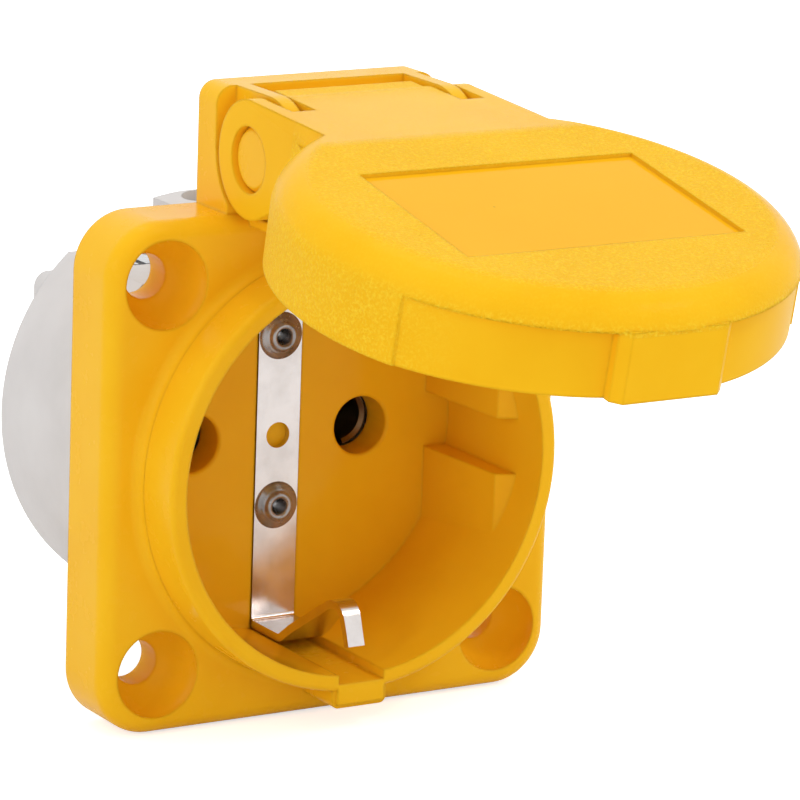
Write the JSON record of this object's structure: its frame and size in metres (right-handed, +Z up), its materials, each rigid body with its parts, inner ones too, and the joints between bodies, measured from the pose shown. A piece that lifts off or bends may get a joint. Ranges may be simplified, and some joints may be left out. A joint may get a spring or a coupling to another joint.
{
  "type": "industrial panel socket",
  "caption": "Square panel socket with a round earthed well, side guides, sprung earth clips, a grey screw-terminal rear body and a hinged protective lid.",
  "frame": {"origin": "centre of the fixing hole pattern, on the flange's rear face, which is the panel's front face", "axes": "+X to the right of a viewer facing the socket, +Y into the panel, +Z up towards the hinge"},
  "size_m": [0.05, 0.0906, 0.0618],
  "materials": {
    "yellow_plastic": "satin moulded thermoplastic, sand textured on the lid",
    "pin_plastic": "smooth moulded thermoplastic",
    "grey_plastic": "fine grained moulded thermoplastic",
    "seal_rubber": "soft matt rubber",
    "nickel_strip": "nickel-plated sheet",
    "rivet_metal": "nickel-plated hollow rivet, slightly tarnished",
    "contact_brass": "plain stamped or drawn brass",
    "screw_steel": "zinc-plated steel"
  },
  "bodies": {
    "housing": {"front_housing": "yellow_plastic", "hinge_pin": "pin_plastic", "earth_strap": "nickel_strip", "rivet_upper": "rivet_metal", "rivet_lower": "rivet_metal", "contact_carrier": "grey_plastic", "contact_left": "contact_brass", "contact_right": "contact_brass", "sleeve_spring_left": "screw_steel", "sleeve_spring_right": "screw_steel", "terminal_left": "contact_brass", "terminal_right": "contact_brass", "terminal_earth": "contact_brass", "terminal_screw_left": "screw_steel", "terminal_screw_right": "screw_steel", "terminal_screw_earth": "screw_steel", "clamp_plate_left": "screw_steel", "clamp_plate_right": "screw_steel", "clamp_plate_earth": "screw_steel", "earth_link": "contact_brass"},
    "lid": {"lid": "yellow_plastic", "lid_seal": "seal_rubber"}
  },
  "joints": [
    {"name": "lid_hinge", "type": "hinge", "parent": "housing", "child": "lid", "pos_m": [0, -0.0098, 0.0309], "axis": [1, 0, 0], "range_deg": [0, 79]}
  ]
}
